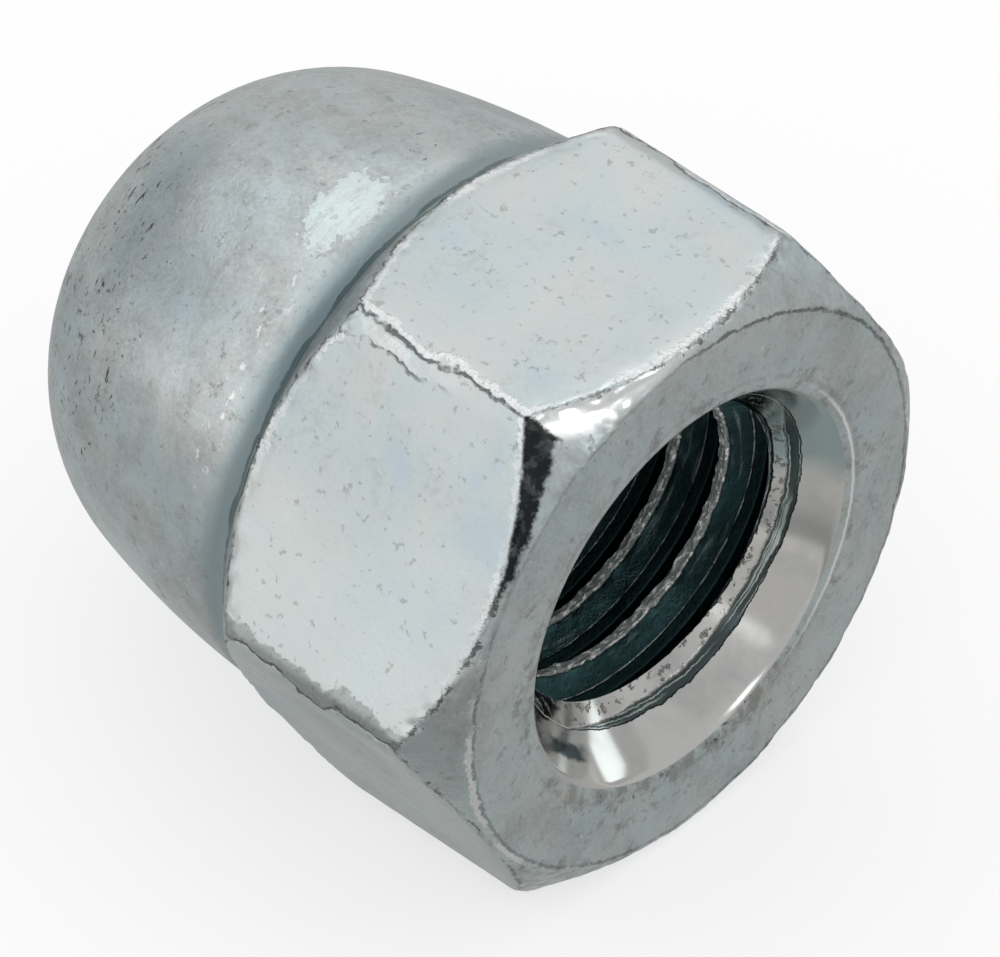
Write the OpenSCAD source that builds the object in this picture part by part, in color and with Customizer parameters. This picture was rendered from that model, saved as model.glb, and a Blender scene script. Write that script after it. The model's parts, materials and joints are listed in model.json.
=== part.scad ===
// Hexagon cap nut: a threaded hexagon that a dome closes at one end, formed as one piece.
// It lies on one flat of its hexagon, with its mouth towards +X and its dome towards -X.
// The origin is the centre of the bearing face, on the axis of the thread. Millimetres.

/* [Hexagon] */
// Width across the flats
flats_w = 13; // [11:0.5:16]
// Height of the hexagon, from the bearing face to where the neck meets it
hex_h = 6.65; // [5.5:0.05:8]
// How much the rounding of the six corner edges takes off each corner
corner_round = 0.1; // [0.05:0.05:0.5]
// How far the bearing face's rim lies inside the flats
rim_inset = 0.17; // [0.05:0.01:0.6]
// Angle between the chamfers and the bearing face
chamfer_a = 43; // [20:1:50]

/* [Dome] */
// Height of the whole nut
total_h = 14.9; // [12.5:0.1:18]
// How far the dome's side, run down into the hexagon, lies inside the flats
dome_inset = 0.22; // [0.1:0.02:0.8]
// Depth inside the hexagon at which the dome's side would be widest
dome_sink = 0.5; // [0:0.1:2]
// Length of the neck between the hexagon and the dome
neck_h = 0.8; // [0.4:0.1:1.5]
// How far the neck flares out from the dome to the hexagon
neck_flare = 0.17; // [0.05:0.01:0.2]
// Radius of the small flat on the end of the dome
end_flat_r = 1; // [0.3:0.1:2]
// Roundness of the shoulder: at 1 the dome's side would run straight up to it
shoulder_share = 0.9; // [0.6:0.05:0.95]

/* [Thread] */
// Nominal diameter of the thread
thread_d = 8; // [6.5:0.5:9]
// Pitch of the thread
pitch = 1.25; // [0.75:0.25:1.5]
// Width of the countersink at the mouth, past the thread's nominal diameter
sink_over = 1; // [0.4:0.1:1.6]
// Angle between the countersink's wall and the axis
sink_a = 36; // [30:1:60]
// Length of the relief groove behind the thread
relief_h = 3.5; // [1.5:0.1:5]
// Depth of the relief groove beyond the radius of the thread's roots
relief_dip = 0.25; // [0.05:0.05:0.3]
// Height of the shallow cone at the bottom of the hole
tip_h = 0.8; // [0.3:0.1:1.5]
// Thickness of metal between the hole's bottom and the end of the dome
end_wall = 1.6; // [1.2:0.1:3]
// Least thickness of metal between the relief groove and the dome's shoulder
side_wall = 0.8; // [0.5:0.1:1.2]

/* [Hidden] */
$fn = 120;
// How far one shape runs into another that it is joined to or cut from
overlap = 0.5;
// Longest step along a curve in a lengthwise section
facet = 0.25;

flats_r = flats_w / 2;
corners_r = flats_r / cos(30);
rounded_r = corners_r - corner_round;
rim_r = flats_r - rim_inset;

// In the dome's lengthwise section the side is an arc, and the shoulder is a smaller arc that runs on
// from it and ends square to the axis, at the edge of the small flat.
dome_r = flats_r - dome_inset;
widest_z = hex_h - dome_sink;
come_in = dome_r - end_flat_r;
shoulder_r = min(shoulder_share * come_in, total_h - widest_z);
shoulder_centre = [end_flat_r, total_h - shoulder_r];
shoulder_rise = shoulder_centre.y - widest_z;
side_r = (pow(come_in, 2) + pow(shoulder_rise, 2) - pow(shoulder_r, 2)) / (2 * (come_in - shoulder_r));
side_centre = [dome_r - side_r, widest_z];
side_start_a = asin((neck_h + dome_sink) / side_r);
side_end_a = asin(shoulder_rise / (side_r - shoulder_r));

// The neck is a hollow arc that flares out from the start of the side.
neck_round = (pow(neck_h, 2) + pow(neck_flare, 2)) / (2 * neck_flare);
neck_a = asin(neck_h / neck_round);
neck_r = side_centre.x + side_r * cos(side_start_a) + neck_flare;
neck_centre = [neck_r - neck_flare + neck_round, hex_h + neck_h];

front_chamfer_h = (corners_r - rim_r) * tan(chamfer_a);
rear_chamfer_h = (corners_r - neck_r) * tan(chamfer_a);

// The basic profile of a metric thread leaves 5/8 of its full height in a nut.
thread_h = 5 / 8 * pitch * cos(30);
minor_r = thread_d / 2 - thread_h;
sink_r = (thread_d + sink_over) / 2;
sink_h = (sink_r - minor_r) / tan(sink_a);
relief_r = thread_d / 2 + relief_dip;

// The hole stops where the end wall or the shoulder's wall would get too thin.
beside_relief = relief_r + side_wall - shoulder_centre.x;
wall_z = shoulder_centre.y + sqrt(max(0, pow(shoulder_r, 2) - pow(beside_relief, 2)));
hole_h = min(total_h - end_wall - tip_h, wall_z);

// Points along an arc from one angle to another, no further apart than the facet size.
function arc(centre, radius, from_a, to_a) =
    let (
        steps = ceil(radius * abs(to_a - from_a) * PI / 180 / facet),
        step_a = (to_a - from_a) / steps
    )
    [for (i = [0:steps]) centre + radius * [cos(from_a + i * step_a), sin(from_a + i * step_a)]];

// A band with a chamfer at each end. The rear chamfer runs on inside the neck.
module hexagon_section() {
    inner_r = neck_r - overlap;
    inner_h = hex_h + overlap * tan(chamfer_a);
    polygon([
        [0, 0],
        [rim_r, 0],
        [corners_r, front_chamfer_h],
        [corners_r, hex_h - rear_chamfer_h],
        [inner_r, inner_h],
        [0, inner_h]
    ]);
}

// The hexagon with rounded corner edges, along +Z from the bearing face.
module hexagon() {
    intersection() {
        rotate(30) cylinder(r = corners_r, h = total_h, $fn = 6);
        cylinder(r = rounded_r, h = total_h);
        rotate_extrude() hexagon_section();
    }
}

// The neck, which starts inside the hexagon, and then the dome.
module dome_section() {
    polygon(concat(
        [[0, hex_h - overlap], [neck_r, hex_h - overlap]],
        arc(neck_centre, neck_round, 180 + neck_a, 180),
        arc(side_centre, side_r, side_start_a, side_end_a),
        arc(shoulder_centre, shoulder_r, side_end_a, 90),
        [[0, total_h]]
    ));
}

// The blind hole: countersink, bore at the thread's crests, relief groove and shallow cone.
module hole() {
    translate([0, 0, -overlap])
        cylinder(r = minor_r, h = hole_h + overlap);
    translate([0, 0, -overlap])
        cylinder(r1 = sink_r + overlap * tan(sink_a), r2 = minor_r, h = sink_h + overlap);
    translate([0, 0, hole_h - relief_h])
        cylinder(r = relief_r, h = relief_h);
    translate([0, 0, hole_h])
        cylinder(r1 = minor_r, r2 = 0, h = tip_h);
}

// The whole nut, turned from +Z onto its flat.
module cap_nut() {
    color("silver")
        rotate([0, -90, 0])
            difference() {
                union() {
                    hexagon();
                    rotate_extrude() dome_section();
                }
                hole();
            }
}

cap_nut();
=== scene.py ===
"""Cap nut: the whole nut as one zinc-plated steel piece, with its stage."""

import json
import math

import bpy
import numpy as np
from mathutils import Matrix, Vector, noise


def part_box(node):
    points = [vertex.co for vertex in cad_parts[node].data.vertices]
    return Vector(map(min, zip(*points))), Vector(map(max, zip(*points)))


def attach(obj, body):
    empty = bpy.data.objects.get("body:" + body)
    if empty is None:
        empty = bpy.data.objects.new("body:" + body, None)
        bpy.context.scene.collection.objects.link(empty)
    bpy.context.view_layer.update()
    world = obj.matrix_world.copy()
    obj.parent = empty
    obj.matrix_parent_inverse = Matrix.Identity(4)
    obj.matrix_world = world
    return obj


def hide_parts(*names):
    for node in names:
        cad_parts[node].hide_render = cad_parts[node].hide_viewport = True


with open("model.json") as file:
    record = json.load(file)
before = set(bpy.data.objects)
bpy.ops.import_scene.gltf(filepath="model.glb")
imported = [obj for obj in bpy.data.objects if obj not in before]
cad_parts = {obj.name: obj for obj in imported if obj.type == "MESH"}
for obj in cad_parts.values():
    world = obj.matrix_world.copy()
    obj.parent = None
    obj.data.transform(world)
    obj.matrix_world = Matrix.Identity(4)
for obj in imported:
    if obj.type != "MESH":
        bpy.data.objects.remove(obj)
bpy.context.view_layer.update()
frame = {"record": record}

bl_info = {
    "name": "Cap Nut",
    "version": (1, 0, 0),
    "blender": (4, 5, 0),
    "location": "View3D > Sidebar > Cap Nut",
    "description": "Builds a zinc-plated cap nut with a cut thread, and a stage for it",
    "category": "Add Mesh",
}

MM = 0.001
NUT_LOW, NUT_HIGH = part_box("cap_nut")
NUT_MIDDLE = (NUT_LOW + NUT_HIGH) / 2
THREAD_MOUNT = next(m for m in frame["record"]["mounts"] if m["name"] == "thread")

# The hexagon has six like sectors, each of so many steps round the axis.
SECTORS = 6
STEPS_PER_SECTOR = 80
STEPS = SECTORS * STEPS_PER_SECTOR
# How far the rear chamfer's inner rim lies inside the flats.
NECK_CHAMFER_INSET = 0.092 * MM
# On the hexagon the steps are drawn towards its corners. They crowd up over the last rows of
# the dome, stay so from the crease to the countersink, and even out again inside the hole.
CORNER_CROWD = 0.75
CROWDING_ROWS, HEXAGON_ROWS, FADE_ROWS = 8, 70, 10
# A rounded corner of the section takes up no more than this share of the span beside it.
LONGEST_TRIM = 0.42

# The thread: how far its helix is turned on, in pitches, and what its cutter is made of.
THREAD_PHASE = 0.16
CUTTER_TURNS = 9
CUTTER_STEPS = 200
CORE_CLEARANCE = 0.045 * MM
ROOT_FLAT_SHARE = 0.095
FLANK_ANGLE = math.radians(30)

# Points of the blank and of the cutter that are nearer to each other than this are one.
BLANK_MERGE, CUTTER_MERGE = 0.0001 * MM, 0.001 * MM
# Wear and burrs are left off where their share would be smaller than this.
LEAST_SHARE = 0.02
# Edges flatter than this are shaded smooth.
SMOOTH_ANGLE = math.radians(32)

# Where the painted dark reflection on one corner and the painted highlight on the rubbed place
# lie: angles round the axis in degrees, places in millimetres.
DARK_REFLECTION_CORNER = 120
RUBBED_HIGHLIGHT_PLACE = (-8.15, -1.45, 6.0)

# The stage. Azimuth 0 is -Y and 90 is +X, in degrees; elevation is above the horizon.
CAMERA_AZIMUTH, CAMERA_ELEVATION, CAMERA_ROLL = 43.05, 42.93, 0.55
CAMERA_DISTANCE = 0.39
CAMERA_TARGET = (-5.226 * MM, 0, -0.351 * MM)
CAMERA_LENS, CAMERA_SENSOR = 707.5, 36
FLOOR_RADIUS = 2.5
FLOOR_GLOW = 0.65
CARD_DISTANCE, WINDOW_DISTANCE = 0.25, 0.24
TABLE_RADIUS, TABLE_LIFT = 0.245, 0.02 * MM
# The table card, which glossy surfaces see, carries a painted shadow near the nut on its mouth's
# side.
TABLE_SHADOW_SIDE = 30
TABLE_LIGHT, TABLE_SHADOW = (0.48, 0.485, 0.475), (0.32, 0.33, 0.325)
TABLE_BEHIND, TABLE_FAR = (0.52, 0.53, 0.525), (0.60, 0.60, 0.59)


# ---------------------------------------------------------------- settings

def length_property(name, description, default):
    return bpy.props.FloatProperty(
        name=name, description=description, default=default, min=0.0,
        precision=5, subtype="DISTANCE", unit="LENGTH",
    )


def angle_property(name, description, degrees):
    return bpy.props.FloatProperty(
        name=name, description=description, default=math.radians(degrees),
        min=0.0, max=math.pi / 2, subtype="ANGLE", unit="ROTATION",
    )


def share_property(name, description, default):
    return bpy.props.FloatProperty(
        name=name, description=description, default=default, min=0.0, max=1.0,
        subtype="FACTOR",
    )


def colour_of(what, default):
    return bpy.props.FloatVectorProperty(
        name=what.capitalize(), description="Colour of " + what, default=default, size=3,
        min=0.0, max=1.0, subtype="COLOR",
    )


class CapNutShape(bpy.types.PropertyGroup):
    flats_width: length_property(
        "Width across flats", "Distance between opposite flats", NUT_HIGH.z - NUT_LOW.z)
    height: length_property(
        "Height", "From the bearing face to the end of the dome", -NUT_LOW.x)
    hexagon_height: length_property(
        "Hexagon height", "From the bearing face to the neck", 6.65 * MM)
    corner_rounding: length_property(
        "Corner rounding", "Radius of the hexagon's six long edges", 0.7 * MM)
    edge_rounding: length_property(
        "Edge rounding", "Radius of the edges round the flats", 0.18 * MM)
    rim_inset: length_property(
        "Rim inset", "How far the bearing face's rim lies inside the flats", 0.17 * MM)
    chamfer_angle: angle_property(
        "Chamfer angle", "Between the chamfers and the bearing face", 43)
    mouth_rounding: length_property(
        "Mouth rounding", "Radius of the edge between bearing face and countersink", 0.22 * MM)
    neck_height: length_property(
        "Neck height", "Length of the hollow neck between hexagon and dome", 0.8 * MM)
    neck_dip: length_property(
        "Neck dip", "How far the neck is hollowed below the dome's side", 0.035 * MM)
    neck_flare: length_property(
        "Neck flare", "How far the neck flares out from the dome to the hexagon", 0.17 * MM)
    dome_inset: length_property(
        "Dome inset", "How far the dome lies inside the flats where it is widest", 0.22 * MM)
    dome_sink: length_property(
        "Dome sink", "Depth inside the hexagon at which the dome would be widest", 0.5 * MM)
    shoulder_share: share_property(
        "Shoulder share", "Roundness of the dome's shoulder, as a share of its width", 0.9)
    end_flat_radius: length_property(
        "End flat radius", "Radius of the small flat on the end of the dome", 1.0 * MM)
    thread_diameter: length_property(
        "Thread diameter", "Nominal diameter of the thread", 8.0 * MM)
    thread_pitch: length_property(
        "Thread pitch", "Distance from one crest of the thread to the next", 1.25 * MM)
    thread_lead: length_property(
        "Thread lead", "Depth at which the thread's groove sets in", 0.95 * MM)
    root_clearance: length_property(
        "Root clearance", "How much deeper than nominal the thread's roots are cut", 0.05 * MM)
    crest_radius: length_property(
        "Crest radius", "Radius of the thread's crests", THREAD_MOUNT["dims"]["r_mm"] * MM)
    sink_radius: length_property(
        "Countersink radius", "Radius of the countersink at the mouth", 4.5 * MM)
    sink_angle: angle_property(
        "Countersink angle", "Between the countersink's wall and the axis", 36)
    relief_length: length_property(
        "Relief length", "Length of the relief groove behind the thread", 3.5 * MM)
    relief_dip: length_property(
        "Relief dip", "Depth of the relief groove beyond the thread's roots", 0.25 * MM)
    tip_height: length_property(
        "Tip height", "Height of the shallow cone at the bottom of the hole", 0.8 * MM)
    end_wall: length_property(
        "End wall", "Thickness of the dome's end beyond the hole", 1.6 * MM)
    wear_depth: length_property(
        "Wear depth", "How deep the knocks along the edges go", 0.07 * MM)
    burr_height: length_property(
        "Burr height", "How far torn metal stands out on the thread's crests", 0.10 * MM)


class CapNutFinish(bpy.types.PropertyGroup):
    zinc: colour_of("clean plating", (0.585, 0.655, 0.665))
    zinc_warm: colour_of("plating with a faint warm haze", (0.635, 0.66, 0.65))
    zinc_blue: colour_of("plating with a faint blue haze", (0.54, 0.625, 0.675))
    zinc_dull: colour_of("dull, stained plating", (0.42, 0.45, 0.45))
    # Painted light: the flats are lighter from just below the axis's height up to about 4.5 mm
    # above it.
    zinc_clean: colour_of("the flats' cleaner parts", (0.67, 0.725, 0.715))
    # Painted highlight: the colour of the rubbed place on the dome.
    zinc_rubbed: colour_of("the rubbed place on the dome", (0.80, 0.92, 0.92))
    # Painted shade: the hollow neck is darker than the dome.
    zinc_neck: colour_of("the smooth neck", (0.29, 0.37, 0.395))
    # Painted highlight: pure white, on the polished chamfer and round part of the mouth.
    polish: colour_of("polished metal", (1.0, 1.0, 1.0))
    # Edges rubbed bright, with a painted highlight on their upper side; also light flecks, and
    # painted highlight streaks beyond the neck.
    bright_edge: colour_of("edges rubbed bright", (0.93, 0.94, 0.94))
    # Darker grey strips beside the lower long edges.
    dull_edge: colour_of("dull strips beside the lower long edges", (0.35, 0.38, 0.365))
    # Painted dark reflection: the black patch along one corner's chamfer.
    burnt: colour_of("the bare, black corner", (0.012, 0.014, 0.015))
    stain: colour_of("brownish stains", (0.28, 0.26, 0.24))
    # Dirt in pits; also the painted dark reflection lines along the edges.
    soil: colour_of("dirt in pits and creases", (0.07, 0.07, 0.07))
    # Painted shade in the crease between the neck and the rear chamfer.
    teal: colour_of("the film in the neck's crease", (0.10, 0.155, 0.16))
    sink: colour_of("the countersink", (0.70, 0.69, 0.67))
    sink_dull: colour_of("the countersink's dull patches", (0.60, 0.60, 0.59))
    sink_shaded: colour_of("the countersink's darker part", (0.18, 0.33, 0.34))
    # Painted dark reflection: a teal streak in the countersink.
    smear: colour_of("the oily smear in the countersink", (0.03, 0.07, 0.085))
    # Painted shade in the fold grooves beside the thread's lip, with light and dark streaks in
    # it.
    film: colour_of("the oily film beside the thread's lip", (0.022, 0.048, 0.052))
    film_streak: colour_of("light streaks in the film beside the lip", (0.50, 0.56, 0.55))
    film_deep: colour_of("dark streaks in the film beside the lip", (0.010, 0.02, 0.022))
    # Painted shade on the thread's flanks, darker in patches and at the roots.
    thread_film: colour_of("the film on the thread's flanks", (0.055, 0.125, 0.135))
    thread_dark: colour_of("darker patches on the thread's flanks", (0.030, 0.068, 0.074))
    thread_streak: colour_of("light streaks along the thread", (0.26, 0.33, 0.32))
    thread_root: colour_of("the thread's roots", (0.022, 0.046, 0.050))
    crest: colour_of("the thread's torn crests", (0.30, 0.34, 0.33))
    # Bright scraps of torn metal on the crests, partly painted glints.
    crest_bright: colour_of("bright scraps on the crests", (1.0, 1.0, 0.98))
    # Painted glint: a thin light line along each flank, beside the root.
    scored: colour_of("the scored line beside each root", (0.75, 0.78, 0.77))


class CapNutStage(bpy.types.PropertyGroup):
    floor: colour_of("the floor", (1.0, 1.0, 1.0))


# ---------------------------------------------------------------- mesh tools

def deselect_all():
    if bpy.context.object and bpy.context.object.mode != "OBJECT":
        bpy.ops.object.mode_set(mode="OBJECT")
    bpy.ops.object.select_all(action="DESELECT")


def make_active(piece):
    deselect_all()
    piece.select_set(True)
    bpy.context.view_layer.objects.active = piece


def apply_modifier(piece, kind, **settings):
    make_active(piece)
    modifier = piece.modifiers.new(kind.lower(), kind)
    for key, value in settings.items():
        setattr(modifier, key, value)
    bpy.ops.object.modifier_apply(modifier=modifier.name)


def open_chain(name, points):
    """A chain of edges through the points, shaped from a circle with one edge left out."""
    deselect_all()
    bpy.ops.mesh.primitive_circle_add(vertices=len(points), radius=MM, fill_type="NOTHING")
    chain = bpy.context.object
    chain.name = chain.data.name = name
    for vertex, point in zip(chain.data.vertices, points):
        vertex.co = point
    for edge in chain.data.edges:
        edge.select = set(edge.vertices) == {0, len(points) - 1}
    for vertex in chain.data.vertices:
        vertex.select = vertex.index in (0, len(points) - 1)
    bpy.ops.object.mode_set(mode="EDIT")
    bpy.ops.mesh.select_mode(type="EDGE")
    bpy.ops.mesh.delete(type="EDGE")
    bpy.ops.mesh.select_mode(type="VERT")
    bpy.ops.mesh.select_all(action="SELECT")
    bpy.ops.object.mode_set(mode="OBJECT")
    return chain


def edit_all(piece, operator, **settings):
    """Runs an edit-mode operator on the whole piece."""
    make_active(piece)
    bpy.ops.object.mode_set(mode="EDIT")
    bpy.ops.mesh.select_all(action="SELECT")
    operator(**settings)
    bpy.ops.object.mode_set(mode="OBJECT")


def merge_doubles(piece, threshold):
    edit_all(piece, bpy.ops.mesh.remove_doubles, threshold=threshold)


def point_outwards(piece):
    edit_all(piece, bpy.ops.mesh.normals_make_consistent, inside=False)


def vectors(elements, key):
    """One row of X, Y and Z for each vertex or face."""
    values = np.empty(len(elements) * 3)
    elements.foreach_get(key, values)
    return values.reshape(-1, 3)


def coordinates(piece):
    return vectors(piece.data.vertices, "co")


def set_coordinates(piece, places):
    piece.data.vertices.foreach_set("co", places.ravel())
    piece.data.update()


def smoothstep(low, high, value):
    t = np.clip((value - low) / (high - low), 0, 1)
    return t * t * (3 - 2 * t)


# ---------------------------------------------------------------- the nut's section

class Section:
    """The nut's lengthwise section, as rows of (depth, radius) for each angle round the axis.

    Depth runs from the bearing face towards the dome."""

    def __init__(self, hexagon_radius):
        self.hexagon_radius = hexagon_radius

    def point(self, depth, radius):
        full = np.zeros_like(self.hexagon_radius)
        return np.stack([full + depth, full + radius], axis=-1)

    def line(self, start, end, count, crowd=0.0):
        """Rows on a straight span. Crowding draws them towards its ends."""
        share = np.linspace(0, 1, count)
        share = share + (smoothstep(0, 1, share) - share) * crowd
        return [start + (end - start) * s for s in share]

    def arc(self, centre, radius, from_angle, to_angle, count):
        """Rows on an arc. Its angle runs from outwards towards the dome's end."""
        angles = np.linspace(from_angle, to_angle, count)
        return [
            self.point(centre[0] + radius * math.sin(a), centre[1] + radius * math.cos(a))
            for a in angles
        ]

    def chain(self, corners, roundings, rounding_rows, counts, crowds):
        """Straight spans through the corners, each inner corner rounded."""
        steps = [b - a for a, b in zip(corners, corners[1:])]
        lengths = [np.linalg.norm(s, axis=-1, keepdims=True) for s in steps]
        units = [s / np.maximum(n, 1e-9) for s, n in zip(steps, lengths)]
        none = np.zeros_like(lengths[0])
        trims = [none] + [
            np.minimum(rounding, np.minimum(before, after) * LONGEST_TRIM)
            for rounding, before, after in zip(roundings, lengths, lengths[1:])
        ] + [none]
        rows = []
        for index, unit in enumerate(units):
            start = corners[index] + unit * trims[index]
            end = corners[index + 1] - unit * trims[index + 1]
            if index:
                before, corner = rows[-1], corners[index]
                for s in np.linspace(0, 1, rounding_rows[index - 1] + 2)[1:-1]:
                    rows.append(before * (1 - s) ** 2 + corner * 2 * s * (1 - s) + start * s ** 2)
            rows += self.line(start, end, counts[index], crowds[index])
        return rows


def nut_section(shape, hexagon_radius):
    """All rows from the end of the dome, over the hexagon and into the hole, to its bottom."""
    s = Section(hexagon_radius)
    flats = shape.flats_width / 2
    total = shape.height
    hexagon = shape.hexagon_height
    slope = math.tan(shape.chamfer_angle)
    rim = flats - shape.rim_inset

    # The dome's side and shoulder are two arcs that run on into each other.
    dome_radius = flats - shape.dome_inset
    widest = hexagon - shape.dome_sink
    come_in = dome_radius - shape.end_flat_radius
    shoulder = min(shape.shoulder_share * come_in, total - widest)
    rise = total - shoulder - widest
    side = (come_in ** 2 + rise ** 2 - shoulder ** 2) / (2 * (come_in - shoulder))
    side_centre = (widest, dome_radius - side)
    side_start = math.asin((shape.neck_height + shape.dome_sink) / side)
    side_end = math.asin(rise / (side - shoulder))
    side_radius = side_centre[1] + side * math.cos(side_start)

    flare = shape.neck_flare
    neck_round = (shape.neck_height ** 2 + flare ** 2) / (2 * flare)
    neck_angle = math.asin(shape.neck_height / neck_round)
    neck_centre = (hexagon + shape.neck_height, side_radius + neck_round)

    rows = s.line(s.point(total, 0), s.point(total, shape.end_flat_radius), 4)
    rows += s.arc((total - shoulder, shape.end_flat_radius), shoulder,
                  math.pi / 2, side_end, 21)[1:]
    rows += s.arc(side_centre, side, side_end, side_start, 13)[1:]
    hollow = s.arc(neck_centre, neck_round, math.pi, math.pi + neck_angle, 8)
    for index, row in enumerate(hollow[1:], 1):
        share = index / (len(hollow) - 1)
        rows.append(row - s.point(0, shape.neck_dip * math.sin(math.pi * share ** 0.7)))

    crease = rows.pop()
    rear = s.point(hexagon, 0)
    rear[..., 0] = hexagon - (hexagon_radius - side_radius - flare) * slope
    rear[..., 1] = hexagon_radius
    front = s.point(0, 0)
    front[..., 0] = (hexagon_radius - rim) * slope
    front[..., 1] = hexagon_radius
    sink_depth = (shape.sink_radius - shape.crest_radius) / math.tan(shape.sink_angle)
    rounding = shape.edge_rounding
    relief = shape.thread_diameter / 2 + shape.relief_dip
    bottom = total - shape.end_wall - shape.tip_height
    thread_end = bottom - shape.relief_length
    corners = [
        rows[-1], crease, rear, front, s.point(0, rim), s.point(0, shape.sink_radius),
        s.point(sink_depth, shape.crest_radius),
        s.point(thread_end, shape.crest_radius), s.point(thread_end, relief),
        s.point(bottom, relief), s.point(bottom + shape.tip_height, 0),
    ]
    tight = 0.02 * MM
    roundings = [
        2 * tight, rounding, rounding, 0.7 * rounding, shape.mouth_rounding,
        tight, tight, tight, tight]
    rounding_rows = [2, 5, 5, 4, 4, 1, 1, 1, 1]
    counts = [2, 6, 44, 8, 7, 7, 6, 3, 3, 3]
    crowds = [0, 0, 0.7, 0.5, 0.3, 0, 0, 0, 0, 0]
    outside = len(rows)
    rows += s.chain(corners, roundings, rounding_rows, counts, crowds)[1:]
    return np.stack(rows), outside


def hexagon_radius_at(shape, angles):
    """Radius of the rounded hexagon at angles round the axis. It has a corner at nought."""
    flats = shape.flats_width / 2
    rounding = shape.corner_rounding
    sector = math.tau / SECTORS
    from_corner = (angles + sector / 2) % sector - sector / 2
    straight = flats / np.cos(sector / 2 - np.abs(from_corner))
    centre = (flats - rounding) / math.cos(sector / 2)
    under = np.maximum(rounding ** 2 - (centre * np.sin(from_corner)) ** 2, 0)
    rounded = centre * np.cos(from_corner) + np.sqrt(under)
    arc_end = math.atan2(
        rounding * math.sin(sector / 2), centre + rounding * math.cos(sector / 2))
    return np.where(np.abs(from_corner) < arc_end, rounded, straight)


def crowded_angles(crowd):
    """The angle of each step round the axis. Crowding draws steps towards the six corners."""
    share = np.arange(STEPS) / STEPS_PER_SECTOR
    return (share - crowd * np.sin(math.tau * share) / math.tau) * math.tau / SECTORS


def build_blank(shape):
    """The unthreaded nut: its section spun round the axis, then pressed to a hexagon."""
    sharp_radius = np.array([shape.flats_width / 2 / math.cos(math.pi / SECTORS)])
    template, outside = nut_section(shape, sharp_radius)
    blank = open_chain("nut_body", [(-depth, radius, 0) for depth, radius in template[:, 0]])
    apply_modifier(
        blank, "SCREW", axis="X", angle=math.tau, steps=STEPS, render_steps=STEPS,
        use_merge_vertices=True, merge_threshold=BLANK_MERGE)
    merge_doubles(blank, BLANK_MERGE)

    places = coordinates(blank)
    radius = np.hypot(places[:, 1], places[:, 2])
    away = np.abs(places[:, :1] + template[:, 0, 0]) + np.abs(radius[:, None] - template[:, 0, 1])
    row = np.argmin(away, axis=1)
    turned = np.arctan2(places[:, 2], places[:, 1]) % math.tau
    step = np.round(turned / math.tau * STEPS).astype(int) % STEPS

    index = np.arange(len(template))
    inside = outside + HEXAGON_ROWS
    crowd = CORNER_CROWD * smoothstep(outside - CROWDING_ROWS, outside, index)
    crowd *= 1 - smoothstep(inside, inside + FADE_ROWS, index)
    crowd = np.round(crowd, 2)
    new = np.empty_like(places)
    for value in np.unique(crowd):
        angles = crowded_angles(value)
        section, _ = nut_section(shape, hexagon_radius_at(shape, angles))
        here = crowd[row] == value
        depth, radius = section[row[here], step[here]].T
        at = angles[step[here]]
        new[here] = np.stack([-depth, radius * np.cos(at), radius * np.sin(at)], axis=-1)
    set_coordinates(blank, new)
    point_outwards(blank)
    return blank


def build_thread_cutter(shape):
    """A right-hand screw, a little slimmer between its ridges than the bore that it cuts."""
    pitch = shape.thread_pitch
    root = shape.thread_diameter / 2 + shape.root_clearance
    core = shape.crest_radius - CORE_CLEARANCE
    middle = pitch / 2
    half_root = ROOT_FLAT_SHARE * pitch
    half_core = half_root + (root - core) * math.tan(FLANK_ANGLE)
    ease = 0.03 * MM
    half_flank = [
        (half_core + (half_root + ease * 0.6 - half_core) * s, core + (root - ease - core) * s)
        for s in (0, 0.17, 0.32, 1)
    ]
    half_flank.append((half_root - ease, root))
    profile = [(0, core)]
    profile += [(middle - x, r) for x, r in half_flank]
    profile += [(middle + x, r) for x, r in reversed(half_flank)]
    profile.append((pitch, core))
    start = (THREAD_PHASE - CUTTER_TURNS) * pitch
    cutter = open_chain("thread_cutter", [(start + x, r, 0) for x, r in profile])
    apply_modifier(
        cutter, "SCREW", axis="X", angle=math.tau, screw_offset=pitch,
        iterations=CUTTER_TURNS + 1, steps=CUTTER_STEPS, render_steps=CUTTER_STEPS)
    merge_doubles(cutter, CUTTER_MERGE)

    # The ridge fades out beyond both ends, and each end closes on a point of the axis.
    places = coordinates(cutter)
    fade = smoothstep(start + pitch, start + 1.6 * pitch, places[:, 0])
    fade *= smoothstep(shape.thread_lead, shape.thread_lead + 0.3 * MM, -places[:, 0])
    radius = np.hypot(places[:, 1], places[:, 2])
    places[:, 1:] *= ((core + (radius - core) * fade) / radius)[:, None]
    set_coordinates(cutter, places)
    bpy.ops.object.mode_set(mode="EDIT")
    bpy.ops.mesh.select_mode(type="EDGE")
    bpy.ops.mesh.select_all(action="DESELECT")
    bpy.ops.mesh.select_non_manifold()
    bpy.ops.mesh.extrude_edges_move()
    bpy.ops.object.mode_set(mode="OBJECT")
    places = coordinates(cutter)
    selected = np.array([v.select for v in cutter.data.vertices])
    inner = selected & (places[:, 0] < 0)
    outer = selected & (places[:, 0] > 0)
    places[inner] = (start - pitch / 2, 0, 0)
    places[outer] = (places[:, 0].max() + pitch / 2, 0, 0)
    set_coordinates(cutter, places)
    merge_doubles(cutter, CUTTER_MERGE)
    point_outwards(cutter)
    return cutter


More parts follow.
